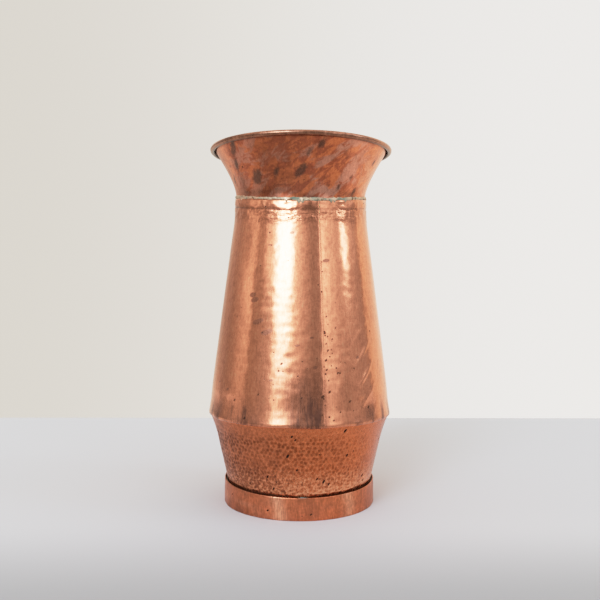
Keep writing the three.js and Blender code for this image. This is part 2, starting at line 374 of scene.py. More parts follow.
def between(tree, value, low, high, bottom=0.0, top=1.0):
    """A value brought smoothly from the range low to high into the range bottom to top."""
    made = node(tree, "ShaderNodeMapRange", {"interpolation_type": "SMOOTHSTEP"}, Value=value)
    for socket, number in zip(made.inputs[1:5], (low, high, bottom, top)):
        if isinstance(number, bpy.types.NodeSocket):
            tree.links.new(number, socket)
        else:
            socket.default_value = number
    return made.outputs[0]


def field(tree, name):
    """A piece's own field, such as how hollow it is at each point."""
    return node(tree, "ShaderNodeAttribute", {"attribute_name": name}).outputs["Fac"]


def effect(name, takes, gives):
    """A shader node group with named inputs and outputs. Returns its tree, its inputs and its output node."""
    tree = bpy.data.node_groups.new(name, "ShaderNodeTree")
    for label, (kind, value) in takes.items():
        socket = tree.interface.new_socket(name=label, in_out="INPUT", socket_type=kind)
        socket.default_value = value
    for label, kind in gives.items():
        tree.interface.new_socket(name=label, in_out="OUTPUT", socket_type=kind)
    return tree, tree.nodes.new("NodeGroupInput").outputs, tree.nodes.new("NodeGroupOutput").inputs


NUMBER, COLOUR = "NodeSocketFloat", "NodeSocketColor"


def place_in(tree, size, stretch=(1, 1, 1), turned=(0, 0, 0)):
    """The point on the piece, divided by size, and drawn out by stretch along each axis once turned."""
    place = node(tree, "ShaderNodeTexCoord").outputs["Object"]
    settings = {"vector_type": "POINT"}
    place = node(tree, "ShaderNodeMapping", settings, Vector=place, Rotation=turned).outputs[0]
    place = node(tree, "ShaderNodeVectorMath", {"operation": "DIVIDE"}, i0=place, i1=stretch).outputs[0]
    share = sums(tree, "DIVIDE", 1.0, size)
    return node(tree, "ShaderNodeVectorMath", {"operation": "SCALE"}, i0=place, Scale=share).outputs[0]


def noise(tree, place, detail, roughness=0.5, distortion=0.0):
    """Layered noise, from about 0 to 1, at a place."""
    return node(tree, "ShaderNodeTexNoise", None, Vector=place, Scale=1.0, Detail=detail, Roughness=roughness,
                Distortion=distortion).outputs[0]


def make_cloud_effect():
    """Tarnish in soft-edged clouds: layered noise, cut off between From and To."""
    takes = {"Size": (NUMBER, 0.03), "From": (NUMBER, 0.45), "To": (NUMBER, 0.6)}
    tree, take, give = effect("tarnish clouds", takes, {"Cloud": NUMBER})
    layers = noise(tree, place_in(tree, take["Size"]), 7.0, 0.6, 0.6)
    tree.links.new(between(tree, layers, take["From"], take["To"]), give["Cloud"])
    return tree


def make_stroke_effect():
    """Upright rubbing marks: noise drawn out along the height of the pot."""
    takes = {"Width": (NUMBER, 0.001), "Length": (NUMBER, 28)}
    tree, take, give = effect("upright strokes", takes, {"Strokes": NUMBER})
    drawn = node(tree, "ShaderNodeCombineXYZ", None, X=1.0, Y=1.0, Z=take["Length"]).outputs[0]
    tree.links.new(noise(tree, place_in(tree, take["Width"], drawn), 3.0, 0.65), give["Strokes"])
    return tree


def make_pit_effect():
    """Dark pin pits: the middles of chance cells, in only a share of the cells."""
    takes = {"Spacing": (NUMBER, 0.01), "Share": (NUMBER, 0.3), "Radius": (NUMBER, 0.1)}
    tree, take, give = effect("pin pits", takes, {"Pits": NUMBER})
    place = place_in(tree, take["Spacing"])
    cells = node(tree, "ShaderNodeTexVoronoi", {"feature": "F1"}, Vector=place, Scale=1.0)
    chance = node(tree, "ShaderNodeSeparateColor", None, Color=cells.outputs["Color"])
    chosen = sums(tree, "LESS_THAN", chance.outputs[0], take["Share"])
    reach = times(tree, take["Radius"], scaled(tree, chance.outputs[1], 0.8, 0.5))
    pit = between(tree, cells.outputs["Distance"], times(tree, reach, 0.3), reach, 0.9, 0.0)
    tree.links.new(times(tree, chosen, pit), give["Pits"])
    return tree


def make_copper_effect():
    """Worn copper sheet. Stain turns the clean colour into the stained one and dulls it, hollows are darkened
    with painted shade, pits are sooty holes, strokes vary the shine, and the inside is a dull brown up to the
    rim. The depths and the height are in metres."""
    takes = {"Clean": (COLOUR, (0.9, 0.45, 0.3, 1)), "Stained": (COLOUR, (0.4, 0.2, 0.1, 1)),
             "Stain": (NUMBER, 0), "Hollow": (NUMBER, 0), "Pits": (NUMBER, 0), "Strokes": (NUMBER, 0.5),
             "Polish": (NUMBER, 0.2), "Dulling": (NUMBER, 0.22), "Stroke depth": (NUMBER, 4e-6),
             "Pit depth": (NUMBER, 3e-4)}
    tree, take, give = effect("worn copper", takes, {"Color": COLOUR, "Roughness": NUMBER, "Height": NUMBER})
    inside = sums(tree, "SUBTRACT", field(tree, "inside"), field(tree, "rim"), clamp=True)
    metal = blend(tree, take["Stain"], take["Clean"], take["Stained"])
    metal = blend(tree, times(tree, inside, 0.85), metal, (0.27, 0.13, 0.08, 1))
    # Painted shade: the colour is darkened by up to 0.62 where Hollow is high, in marks, dents and creases.
    shade = scaled(tree, take["Hollow"], -0.62, 1.0)
    shade = times(tree, shade, scaled(tree, take["Strokes"], 0.8, 0.6))
    mottle = noise(tree, place_in(tree, 0.0028), 4.0)
    shade = times(tree, shade, scaled(tree, mottle, 0.7, 0.65))
    grey = node(tree, "ShaderNodeCombineColor", None, Red=shade, Green=shade, Blue=shade).outputs[0]
    metal = blend(tree, 1.0, metal, grey, "MULTIPLY")
    tree.links.new(blend(tree, take["Pits"], metal, (0.035, 0.018, 0.012, 1)), give["Color"])
    dull = scaled(tree, take["Stain"], take["Dulling"], take["Polish"])
    dull = scaled(tree, take["Hollow"], 0.1, dull)
    dull = scaled(tree, inside, 0.16, dull)
    dull = scaled(tree, take["Strokes"], 0.1, dull)
    tree.links.new(scaled(tree, take["Pits"], 0.4, dull, clamp=True), give["Roughness"])
    raised = times(tree, take["Strokes"], take["Stroke depth"])
    raised = scaled(tree, noise(tree, place_in(tree, 0.0011), 2.0), 7e-6, raised)
    sunk = times(tree, take["Pits"], take["Pit depth"])
    tree.links.new(sums(tree, "SUBTRACT", raised, sunk), give["Height"])
    return tree


cloud_effect = make_cloud_effect()
stroke_effect = make_stroke_effect()
pit_effect = make_pit_effect()
copper_effect = make_copper_effect()


def use(tree, group, **inputs):
    """The outputs of a node group placed in a material with its own values."""
    return node(tree, "ShaderNodeGroup", {"node_tree": group}, **inputs).outputs


def finish_material(material, colour, roughness, height):
    """Sends a finish to a material's shader, as metal, with its height as a bump in real metres."""
    tree = material.node_tree
    shader = tree.nodes["Principled BSDF"]
    shader.inputs["Metallic"].default_value = 1.0
    tree.links.new(colour, shader.inputs["Base Color"])
    tree.links.new(roughness, shader.inputs["Roughness"])
    bump = node(tree, "ShaderNodeBump", None, Strength=1.0, Distance=1.0, Height=height)
    tree.links.new(bump.outputs["Normal"], shader.inputs["Normal"])
    return material


def new_material(name):
    """A material made of nodes, and the tree that holds them."""
    material = bpy.data.materials.new(name)
    material.use_nodes = True
    return material, material.node_tree


def pits_and_gouges(tree, top=1.0, low=0.15, high=0.6, **look):
    """Pin pits of that look, with the piece's own gouges as dark as top."""
    pits = use(tree, pit_effect, **look)["Pits"]
    return sums(tree, "MAXIMUM", pits, between(tree, field(tree, "gouge"), low, high, 0.0, top))


def peened_copper():
    """Orange copper with painted shade in the punched hollows, browner on the left, worm-like marks near the
    foot, and painted sheen near the foot and between the marks.
    """
    material, tree = new_material("peened orange copper")
    soot = field(tree, "soot")
    clouds = use(tree, cloud_effect, Size=0.022, From=0.42, To=0.68)["Cloud"]
    specks = use(tree, cloud_effect, Size=0.0022, From=0.5, To=0.62)["Cloud"]
    stain = scaled(tree, soot, 0.6, times(tree, clouds, 0.2))
    stain = scaled(tree, specks, 0.22, stain)
    worms = noise(tree, place_in(tree, 0.0026, (0.75, 0.75, 1.2)), 3.0, distortion=1.0)
    worked, painted_sheen = field(tree, "worked"), field(tree, "painted_sheen")
    cut = times(tree, worked, between(tree, worms, 0.5, 0.6))
    # Painted sheen: the lighter worm lines beside the dark cut ones.
    painted_worm_sheen = times(tree, worked, between(tree, worms, 0.46, 0.38))
    stain = scaled(tree, cut, 0.6, stain)
    stain = scaled(tree, painted_sheen, -0.45, stain, clamp=True)
    # shine lightens the clean colour towards pale orange as painted highlight.
    shine = scaled(tree, painted_worm_sheen, 0.6, times(tree, painted_sheen, 0.75), clamp=True)
    plain = blend(tree, field(tree, "ruddy"), (0.76, 0.215, 0.083, 1), (0.64, 0.155, 0.052, 1))
    clean = blend(tree, shine, plain, (1.0, 0.43, 0.22, 1))
    pits = pits_and_gouges(tree, Spacing=0.01, Share=0.3, Radius=0.11)
    finish = use(tree, copper_effect, Clean=clean, Stained=(0.3, 0.1, 0.052, 1), Stain=stain,
                 Hollow=field(tree, "hollow"), Strokes=use(tree, stroke_effect, Width=0.0012)["Strokes"],
                 Pits=pits, Polish=0.2, Stroke_depth=1e-5)
    return finish_material(material, finish["Color"], finish["Roughness"], finish["Height"])


def settle(piece, node_name, material):
    """Gives a piece its finish and its place in the model: it stands for a CAD node and rides on the root."""
    piece.data.materials.append(material)
    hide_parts(node_name)
    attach(piece, "root")


settle(make_bowl(), "lower_bowl", peened_copper())


# -------------------- foot hoop
# A strip of copper bent into a hoop, its ends lapped and soldered at the back. The bowl is sunk into it.
# It is left plain. Years on tables have rubbed it upright and dented it a little.

HOOP_DIP = 4.3 * MM  # how much lower its top edge is at the front
HOOP_LAP = math.radians(10.8)
LAP_STEP = math.radians(2.5)  # stretch over which its lapped end steps out
# Painted highlight bands on the hoop, where it would reflect the window-lit floor in front.
HOOP_HIGHLIGHT_BANDS = ((-16.5, 0.075, 1.0), (37, 0.085, 0.8))  # degrees from the front, width in radians, strength
HOOP_SPOTS = ((-24, 12, 2.0), (7, 9, 2.0), (-60, 20, 1.5), (120, 14, 2.0))


def make_hoop():
    """An upright line carried once round and a lap more. Relief is slow and short waves, and one sheet and
    its gap more where the outer end climbs over the inner one. The top edge is lower by HOOP_DIP times
    cos^4 of half the angle."""
    start = math.pi
    line = evenly([(hoop_radius, 0.6 * MM), (hoop_radius, hoop_height - 0.3 * MM)], 1.2 * MM)
    angle = np.linspace(start, start + FULL_TURN + HOOP_LAP, 420)[None, :]
    height = line[:, 1:]
    stepped = ramp(angle, start + FULL_TURN - LAP_STEP, start + FULL_TURN) * (HOOP_SHEET + SKIN_GAP)
    waves = 0.3 * drift(angle, height, 13, 60 * MM, 21) + 0.16 * drift(angle, height, 38, 18 * MM, 22)
    # Painted shade: darker along the bottom 6 mm, where the hoop stands on the floor. It is mixed into soot
    # with real tarnish.
    floor_shade = 1 - ramp(height, 0, 6 * MM)
    sooty = 0.3 * floor_shade + 0.3 * drift(angle, height, 30, 12 * MM, 23)
    sooty = sooty + 0.8 * near(from_front(angle), -50, 0.5)
    leaning = from_front(angle) - 0.02 * np.sin(height / (7 * MM))
    # Painted highlight: bright upright bands at set angles. The drift below adds real worn patches.
    rubbed_and_highlit = sum(strength * near(leaning, at, wide) for at, wide, strength in HOOP_HIGHLIGHT_BANDS)
    rubbed_and_highlit = rubbed_and_highlit + 0.45 * ramp(drift(angle, height, 31, 14 * MM, 24), 0.35, 0.9)
    fields = {
        "soot": np.clip(sooty, 0, 1),
        "rubbed_and_highlit": np.clip(rubbed_and_highlit, 0, 1),
        "gouge": spots(angle, height, hoop_radius, HOOP_SPOTS, 1.2),
    }
    return sheet_piece("foot_band", line, HOOP_SHEET, angle, waves * MM + stepped, fields, lapped=True,
                       drop=lambda turn, up: HOOP_DIP * np.cos(turn / 2) ** 4 * up / hoop_height)


def hoop_copper():
    """Brown-orange copper with upright rubbing marks, paler in worn patches and in painted highlight bands
    where it would reflect the window-lit floor, with a few dark spots.
    """
    material, tree = new_material("rubbed hoop copper")
    clouds = use(tree, cloud_effect, Size=0.03, From=0.42, To=0.66)["Cloud"]
    stain = scaled(tree, field(tree, "soot"), 0.6, times(tree, clouds, 0.4), clamp=True)
    fine = use(tree, stroke_effect, Width=0.0013, Length=7.0)["Strokes"]
    broad = use(tree, stroke_effect, Width=0.005, Length=4.0)["Strokes"]
    strokes = between(tree, scaled(tree, broad, 0.8, fine), 0.5, 1.3, 0.15, 0.85)
    # The painted highlight bands lighten the colour towards pale orange.
    rubbed_and_highlit = times(tree, field(tree, "rubbed_and_highlit"), between(tree, fine, 0.3, 0.6, 0.5, 1.0))
    clean = blend(tree, rubbed_and_highlit, (0.66, 0.2, 0.088, 1), (1.0, 0.45, 0.25, 1))
    pits = pits_and_gouges(tree, Spacing=0.014, Share=0.25, Radius=0.1)
    finish = use(tree, copper_effect, Clean=clean, Stained=(0.34, 0.12, 0.065, 1), Stain=stain,
                 Strokes=strokes, Pits=pits, Polish=0.26, Stroke_depth=2e-5)
    return finish_material(material, finish["Color"], finish["Roughness"], finish["Height"])


settle(make_hoop(), "foot_hoop", hoop_copper())


# -------------------- foot solder
# Soft solder run into the gap between bowl and hoop. It lies below the hoop's edge in most places, in a
# dark gap, and comes up grey-green with verdigris at the front.

LUMP_STEP = 0.4  # of a chance value, from one side of a bead to the next

def bead(name, radius, height, wide, tall, angle, fields, lumps, drop=None, sides=14):
    """A bead carried round the pot: an ellipse with half axes wide and tall, times 1 + lumps, which vary
    round its section and along it. Its centre's radius and height may vary along it."""
    section = np.linspace(0, FULL_TURN, sides, endpoint=False)[:, None]
    out = radius + wide * (1 + lumps) * np.cos(section)
    up = height + tall * (1 + lumps) * np.sin(section)
    if drop is not None:
        up = up - drop(angle, up)
    points = np.stack([out * np.sin(angle), -out * np.cos(angle), up], -1)
    faces = quads(sides, angle.shape[1], True, True)
    fields = {label: np.broadcast_to(values, out.shape) for label, values in fields.items()}
    return make_mesh(name, points, faces, fields)


def make_foot_solder():
    """A bead midway between bowl and hoop, with lumps of 0.12 times a fine drift. Its middle is 2.2 mm below
    the top, plus 2.6 mm times how full the gap is, plus 0.35 mm times a drift, less the hoop's dip."""
    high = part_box("foot_solder")[1]
    angle = ring(720)
    filled = bump_at(angle, 0.05, 0.17) + bump_at(angle, FULL_TURN + 0.05, 0.17)
    filled = np.clip(filled + 0.5 * drift(angle, 0, 23, 1, 31), 0, 1)
    height = high.z - 2.2 * MM + 2.6 * MM * filled + 0.35 * MM * drift(angle, 0, 160, 1, 32)
    height = height - HOOP_DIP * np.cos(angle / 2) ** 4
    lumps = 0.12 * drift(angle, LUMP_STEP * np.arange(14)[:, None], 240, 1.0, 33)
    middle = (bowl_radius(high.z) + high.x) / 2
    return bead("foot_joint_solder", middle, height, 0.95 * MM, 1.5 * MM, angle, {"green": filled}, lumps)


def solder_metal(name, clean, dirt, green_colour, share):
    """Dull solder, dirty in places and pale green where verdigris has grown."""
    material, tree = new_material(name)
    green = field(tree, "green")
    crust = use(tree, cloud_effect, Size=0.006, From=0.36, To=0.58)["Cloud"]
    grime = use(tree, cloud_effect, Size=0.0045, From=0.52, To=0.62)["Cloud"]
    grown = sums(tree, "MULTIPLY", scaled(tree, crust, 0.75, 0.25), green, clamp=True)
    grown = times(tree, grown, share)
    colour = blend(tree, grown, blend(tree, grime, clean, dirt), green_colour)
    height = times(tree, noise(tree, place_in(tree, 0.0011), 4.0), 1.6e-4)
    rough = scaled(tree, grown, 0.4, 0.4)
    metal = scaled(tree, grown, -0.85, 0.9, clamp=True)
    finish_material(material, colour, rough, height)
    tree.links.new(metal, tree.nodes["Principled BSDF"].inputs["Metallic"])
    return material


foot_solder_metal = solder_metal("foot solder", (0.13, 0.115, 0.09, 1), (0.02, 0.017, 0.013, 1),
                                 (0.2, 0.245, 0.2, 1), 1.0)
settle(make_foot_solder(), "foot_solder", foot_solder_metal)


# -------------------- body sheet
# A sheet rolled into a cone, lapped and brazed upright near the front, planished, and scoured with upright
# strokes. Its foot is turned in over the bowl, and its top stands up as a collar round the mouth's skirt.

BODY_TURN = 2.6 * MM
BODY_EDGE = 62  # degrees that the foot is turned in by
SEAM_START = math.radians(7.5)
SEAM_LAP = 12 * MM / shoulder_radius
LAP_RISE = math.radians(34)
LAP_STAND = 0.62 * MM  # how far the lap's outer end stands out
LAP_DRESSED = 0.16 * MM  # how far its very edge is hammered back
LAP_TUCK = 0.45 * MM  # how far the end beneath it is pushed in
LAP_RIDGE = 0.4 * MM
JOINT_DIP = 16.5 * MM
DIP_FADE = 80 * MM
NECK_BEAD = 3.4 * MM
PLANISH_ROWS = 10.5 * MM
PLANISH_MARKS_ROUND = 66
DENT_PITCH = 27 * MM
DENT_SLANT = 105 * MM  # how much a slanting dent climbs in one radian
SMUDGES = (  # degrees from the front, height in mm, size in mm
    (-36.5, 263, 7), (-34.5, 257, 8), (-31.5, 231, 8), (-28.5, 233, 6), (-24.5, 219, 8), (-21.5, 221, 6),
    (-25.5, 327, 2.2), (17.5, 304, 6.5), (24, 338, 2), (-8, 345, 4.5), (38, 190, 4), (110, 250, 9),
    (165, 300, 8), (-120, 190, 8), (-160, 260, 6), (8, 180, 4), (-19, 165, 4), (30, 140, 3), (-52, 150, 4),
    (6, 214, 3), (-3, 205, 4))
BODY_PITS = (
    (14.6, 219, 2.4), (16.3, 199, 2.2), (14.8, 188, 2.6), (15, 177, 2.4), (16.4, 152, 2.8), (12, 147, 3.4),
    (22.4, 173, 2.4), (22.3, 225, 2.0), (19.7, 212, 1.8), (29.5, 140, 2.4), (44.4, 131, 3.0),
    (18.4, 120, 2.2), (-26.8, 148, 2.6), (-44.4, 139, 2.6), (-12.7, 184, 2.6), (-2.5, 170, 2.0),
    (-0.3, 146, 2.6), (15.9, 238, 1.8), (15.2, 207, 1.6), (16, 165, 1.8), (-26.8, 219, 2.0),
    (26.7, 159, 1.8), (23, 129, 2.2), (-35.2, 120, 3.0), (-24, 326, 2.2), (11, 275, 2.0), (95, 170, 2.4),
    (140, 230, 2.2), (-100, 150, 2.4))

neck_joint = body_high.z
rim_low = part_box("rim_wire")[0].z - 1.5 * MM
seam_angle = SEAM_START + SEAM_LAP


def dip(angle, height):
    """How much lower a point lies than at the back: JOINT_DIP times cos^4 of half its angle, whole in the
    neck joint, fading up to the rim and down into the body."""
    above = np.clip((rim_low - height) / (rim_low - neck_joint - NECK_BEAD), 0, 1)
    below = np.clip((height - collar_foot + DIP_FADE) / DIP_FADE, 0, 1)
    return JOINT_DIP * np.cos(angle / 2) ** 4 * np.minimum(above, below)


def body_line():
    """The body's outside: turned-in edge, shoulder, cone, the bend up into the collar, and the collar."""
    cone_top = (NECK_RADIUS + NECK_BEND * body_taper, bend_height - NECK_BEND)
    return [
        arc((shoulder_radius - BODY_TURN, SHOULDER_HEIGHT - 1.1 * MM), BODY_TURN, -BODY_EDGE, body_lean, 10),
        bent(cone_top, (NECK_RADIUS, bend_height), (NECK_RADIUS, collar_foot), 16),
        (NECK_RADIUS, neck_joint - 0.4 * MM),
    ]


def make_body():
    """The body's line carried once round and a lap more. Relief, each part with its own depth: the lap's
    rise, tuck and ridge, a dimple at each planishing blow, slow and short waves, crinkles and a groove at the
    foot of the collar, slanting dents (the cube of the sine of height less DENT_SLANT x angle), and a hollow
    round the pot just above the shoulder."""
    line = evenly(body_line(), 1.75 * MM)
    last = SEAM_START + FULL_TURN + SEAM_LAP
    near_end = 2.4 * MM / shoulder_radius
    end_steps = last - near_end * np.array([1.5, 1, 0.6, 0.3, 0.1, 0])
    angle = np.append(np.linspace(SEAM_START, last - 2 * near_end, 424), end_steps)[None, :]
    radius, height = line[:, :1], line[:, 1:]
    level = height - neck_joint + NECK_LAP  # height above the foot of the collar
    aside = from_front(angle)
    past = np.where(angle > FULL_TURN, 1.0, 0.0)  # the lap's outer end
    stepped = LAP_STAND * ramp(angle, SEAM_START + FULL_TURN - LAP_RISE, last)
    dressed = LAP_DRESSED * np.clip((angle - last + 0.6 * near_end) / (0.6 * near_end), 0, 1) ** 2
    tucked = LAP_TUCK * (1 - ramp(angle, SEAM_START + 0.6 * SEAM_LAP, SEAM_START + SEAM_LAP))
    beside_seam = (aside - seam_angle) * radius
    ridge = LAP_RIDGE * np.clip(1 - beside_seam / (15 * MM), 0, 1) ** 1.5
    ridge = ridge * (1 - past) * (beside_seam > -2 * MM)

    # The marks' depths are in millimetres.
    distance, number = blows(angle, height, radius, PLANISH_MARKS_ROUND, PLANISH_ROWS, 41)
    planished = -0.085 * dimple(distance, 7.5 * MM) * (0.4 + number)
    rippled, strength = blows(angle, height, radius, 30, 8.5 * MM, 40, 0.3, 2.4)
    lower_half = 1 - ramp(height, 210 * MM, 290 * MM)
    planished = planished - 0.1 * dimple(rippled, 6 * MM) * strength * (0.3 + 0.7 * lower_half)
    waves = 0.2 * drift(angle, height, 16, 95 * MM, 42) + 0.09 * drift(angle, height, 44, 30 * MM, 43)
    waves = waves + 0.028 * drift(angle, height, 125, 12 * MM, 51)
    near_collar = bump_at(level, -8 * MM, 11 * MM)
    crinkled = 0.3 * drift(angle, height, 62, 6 * MM, 44) + 0.24 * drift(angle, height, 140, 3.5 * MM, 45)
    groove = -0.95 * bump_at(level + 1.7 * MM * drift(angle, 0, 26, 1, 46), -1 * MM, 1.3 * MM)
    groove_strength = drift(angle, 0, 19, 1, 47)
    groove = groove * (0.6 + 0.4 * groove_strength)
    collar = 0.4 * drift(angle, height, 60, 5 * MM, 48) + 0.12 * drift(angle, height, 160, 2.5 * MM, 52)
    collar = ramp(level, 0, 2 * MM) * collar - 0.04 * np.clip(level, 0, NECK_LAP) / MM
    slanting = np.clip(np.sin((height - DENT_SLANT * aside) / DENT_PITCH * FULL_TURN), 0, 1) ** 3
    dents = 0.6 * slanting * near(aside, 45, 0.13) * bump_at(height, 168 * MM, 50 * MM)
    shoulder = 0.35 * (1 - ramp(height, 112 * MM, 118 * MM)) * drift(angle, 0, 52, 1, 49)
    shoulder = shoulder - bump_at(height, 131 * MM, 14 * MM) * (0.75 + 0.25 * drift(angle, 0, 17, 1, 53))
    marks = planished + waves + near_collar * crinkled + groove + collar + dents + shoulder
    relief = stepped - dressed - tucked + ridge + MM * marks

    # Soot at the shoulder, darkest at the front, and painted shade in the groove and in the planishing marks.
    # Pits follow the seam.
    foot_soot = 1 - ramp(height, 114 * MM, 150 * MM)
    ragged = np.clip(0.4 + drift(angle, height, 84, 26 * MM, 50), 0, 1)
    smoke = np.clip(foot_soot * (0.15 + 0.9 * ragged), 0, 1)
    smoke = smoke + 1.3 * near(aside, 4, 0.19) * (1 - ramp(height, 122 * MM, 190 * MM))
    for degrees, wide, more in ((-37, 0.07, 0.8), (-18, 0.13, -0.9), (19, 0.09, -1.2)):
        smoke = smoke + more * near(aside, degrees, wide) * foot_soot
    # Painted shade: darker in the groove at the foot of the collar and in the crinkles above it.
    crevice_shade = bump_at(level, -1 * MM, 1.5 * MM) * (0.5 + 0.4 * groove_strength) + 0.3 * near_collar * ragged
    shaded = near(aside, 8, 0.2) * ramp(level, -6 * MM, 1 * MM)
    low_down = 1 - ramp(height, 195 * MM, 260 * MM)
    pitted = 0.95 * bump_at(beside_seam, 7 * MM, 7 * MM) * low_down + 0.08 * low_down + 0.15 * near_collar
    pitted = pitted + 0.6 * bump_at(beside_seam, 0.5 * MM, 3 * MM) * (1 - ramp(height, 300 * MM, 345 * MM))
    # Painted shade along the turned-in foot, where the body meets the bowl.
    fold_shade = 1 - ramp(height, 111.8 * MM, 113.6 * MM)
    fold_shade[0] = 0
    fields = {
        "soot": np.clip(smoke, 0, 1),
        # hollow: painted shade in the groove, under the flare at the front, and in the planishing marks.
        "hollow": np.clip(1.3 * crevice_shade + 0.4 * shaded + 0.2 * dimple(distance, 6 * MM) * number, 0, 1),
        "pitted": np.clip(pitted + 0.03, 0, 1),
        "smudge": spots(angle, height, radius, SMUDGES, 0.6),
        "gouge": spots(angle, height, radius, BODY_PITS, 1.1),
        "fold_shade": fold_shade + 0 * angle,
        "crinkled": near_collar + 0 * angle,
    }
    return sheet_piece("body_cone", line, SHEET, angle, relief, fields, lapped=True, drop=dip)


def scoured_copper():
    """Pink copper scoured upright, with brown smudges and clouds, a sooty shoulder, painted shade in the
    groove and along the turned-in foot, and pits by the seam.
    """
    material, tree = new_material("scoured pink copper")
    clouds = use(tree, cloud_effect, Size=0.04, From=0.46, To=0.74)["Cloud"]
    smears = use(tree, cloud_effect, Size=0.012, From=0.56, To=0.72)["Cloud"]
    strokes = use(tree, stroke_effect, Width=0.0013)["Strokes"]
    broad = use(tree, stroke_effect, Width=0.005)["Strokes"]
    soot = times(tree, field(tree, "soot"), between(tree, broad, 0.38, 0.58, 0.45, 1.0))
    smudge = times(tree, between(tree, field(tree, "smudge"), 0.1, 0.5), 0.7)
    # The turned-in foot is darkened as painted shade, together with the real smudges.
    smudge = sums(tree, "MAXIMUM", smudge, times(tree, field(tree, "fold_shade"), 0.85))
    stain = scaled(tree, clouds, 0.16, times(tree, smears, 0.16))
    stain = sums(tree, "MAXIMUM", scaled(tree, soot, 0.9, stain, clamp=True), smudge)
    pits = pits_and_gouges(tree, 0.85, 0.2, 0.7, Spacing=0.0055, Share=field(tree, "pitted"), Radius=0.26)
    finish = use(tree, copper_effect, Clean=(0.98, 0.355, 0.187, 1), Stained=(0.24, 0.1, 0.065, 1),
                 Stain=stain, Hollow=field(tree, "hollow"), Strokes=strokes, Pits=pits, Polish=0.06,
                 Stroke_depth=2.2e-5, Pit_depth=3e-5)
    facets = noise(tree, place_in(tree, 0.0036, (1.5, 1.5, 0.8)), 3.0)
    facets = times(tree, facets, times(tree, field(tree, "crinkled"), 6e-4))
    height = sums(tree, "ADD", finish["Height"], facets)
    return finish_material(material, finish["Color"], finish["Roughness"], height)


settle(make_body(), "body_sheet", scoured_copper())


# -------------------- shoulder solder
# Spelter, a yellow brazing alloy, fed round the top of the bowl's collar from inside while the joint was
# hot. It seals the bowl to the body. It can only be seen from above.


def make_shoulder_solder():
    """A bead round the top of the bowl's collar, with lumps of 0.25 times a drift."""
    low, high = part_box("shoulder_solder")
    angle = ring(480)
    lumps = 0.25 * drift(angle, LUMP_STEP * np.arange(10)[:, None], 90, 1.0, 51)
    return bead("shoulder_joint_spelter", high.x - 1.1 * MM, (low.z + high.z) / 2, 0.9 * MM, 1.0 * MM, angle,
                {"green": 0 * angle}, lumps, sides=10)


spelter = solder_metal("yellow spelter", (0.62, 0.38, 0.17, 1), (0.16, 0.09, 0.05, 1),
                       (0.3, 0.4, 0.3, 1), 0.0)
settle(make_shoulder_solder(), "shoulder_solder", spelter)


# -------------------- body seam solder
# The line of spelter along the free edge of the body's lap. It was melted in from outside and filed nearly
# flush. Small blobs stand up from it.

SEAM_FINEST = 0.02 * MM


def make_seam_solder():
    """A thin bead that follows the body's line upwards beside the lap's free edge. Its size is 0.08 mm plus
    0.75 mm times the square of a drift, where that is above 0, and it tapers away at both ends."""
    line = np.concatenate([np.atleast_2d(part) for part in body_line()])
    line = evenly([line[line[:, 1] > SHOULDER_HEIGHT]], 0.9 * MM)
    radius, height = line[:, 0][None, :], line[:, 1][None, :]
    section = np.linspace(0, FULL_TURN, 10, endpoint=False)[:, None]
    blobs = np.clip(drift(0 * height, height, 3, 2.6 * MM, 61), 0, 1) ** 2
    place, end = np.arange(len(line)), len(line) - 1
    taper = ramp(place, 0, 3) * (1 - ramp(place, end - 3, end))
    size = np.maximum((0.08 + 0.75 * blobs) * MM * taper, SEAM_FINEST)
    out = radius + 0.6 * MM + 0.6 * size * np.cos(section)
    aside = seam_angle + (0.2 * MM + 1.1 * size * np.sin(section)) / radius
    up = height - dip(aside, height)
    points = np.stack([out * np.sin(aside), -out * np.cos(aside), up], -1)
    sides, length = out.shape
    faces = quads(sides, length, True, False)
    faces += [[i * length for i in range(sides)], [i * length + length - 1 for i in reversed(range(sides))]]
    return make_mesh("seam_spelter", points, faces, {"green": 0 * out})


settle(make_seam_solder(), "body_seam_solder", spelter)


# -------------------- mouth flare
# The mouth is one ring of copper: a skirt inside the body's collar, a flare hammered out from it, and an edge
# curled outwards and down over a wire. It was never scoured, so it keeps its brown stains and orange smears.

MOUTH_LEAN = 35  # degrees from upright, where the flare meets the curl
CURL_TURN = 262  # degrees
WIRE_GAP = 0.3 * MM
STAINS = (  # degrees from the front, height in mm, size in mm
    (-50, 440, 7), (-53.5, 437, 7.5), (-56, 421, 7), (-38.5, 405, 9), (-35.5, 402, 8), (-20, 406, 6),
    (-3, 407, 7.5), (0.5, 409, 7), (4, 428, 5.5), (12, 438, 7), (41, 404, 5), (48, 388, 6.5), (30, 391, 4.5),
    (-70, 405, 6), (95, 415, 12), (130, 430, 9), (165, 412, 12), (-165, 428, 9), (-130, 412, 12),
    (-98, 424, 8), (64, 426, 4.5))

wire_low, wire_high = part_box("rim_wire")
wire_radius = (wire_high.z - wire_low.z) / 2
curl_inside = wire_radius + WIRE_GAP
curl_centre = (wire_high.x - wire_radius, wire_high.z - wire_radius)
skirt_radius = NECK_RADIUS - SHEET - SKIN_GAP


